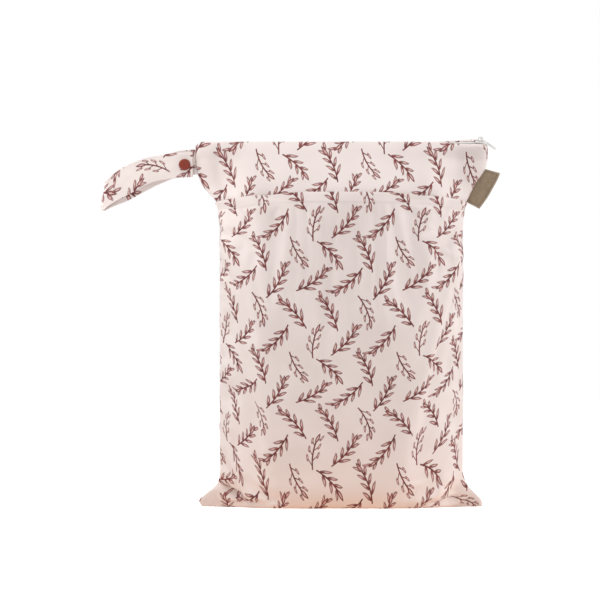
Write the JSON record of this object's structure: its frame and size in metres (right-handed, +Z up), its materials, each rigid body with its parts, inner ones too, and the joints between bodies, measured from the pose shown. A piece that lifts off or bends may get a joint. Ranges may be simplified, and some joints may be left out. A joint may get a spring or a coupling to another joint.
{
  "type": "cloth diaper wet bag",
  "caption": "Filled zip-top cloth wet bag standing on its base, with a lapped front panel, snap strap and side label.",
  "frame": {"origin": "on the surface that the bag stands on, under the middle of its filled body", "axes": "+X towards the zip slider's end, -Y the way the lapped front panel faces, +Z up from the base to the zip"},
  "size_m": [0.4062, 0.0959, 0.381],
  "materials": {
    "printed_cloth": "off-white woven cloth with a sparse maroon leaf print, matte",
    "zip_tape": "off-white woven tape",
    "white_nylon": "white nylon coil",
    "white_enamel": "white enamel, satin",
    "rust_plastic": "rust-brown moulded resin, satin",
    "pale_plastic": "pale moulded resin",
    "taupe_label": "taupe woven label, matte"
  },
  "bodies": {
    "bag": {"front_panel": "printed_cloth", "front_yoke": "printed_cloth", "back_panel": "printed_cloth", "zip_tape_front": "zip_tape", "zip_tape_back": "zip_tape", "zip_coil": "white_nylon", "zip_slider": "white_enamel", "strap": "printed_cloth", "snap_cap": "rust_plastic", "snap_back_cap": "rust_plastic", "snap_socket": "pale_plastic", "snap_stud": "pale_plastic", "side_label": "taupe_label"},
    "pull_tab": {"zip_pull_tab": "white_enamel"}
  },
  "joints": [
    {"name": "pull_tab_hinge", "type": "hinge", "parent": "bag", "child": "pull_tab", "pos_m": [0.1435, -0.00144, 0.37837], "axis": [0, 0.9511, 0.309], "range_deg": [-210, 0]}
  ]
}
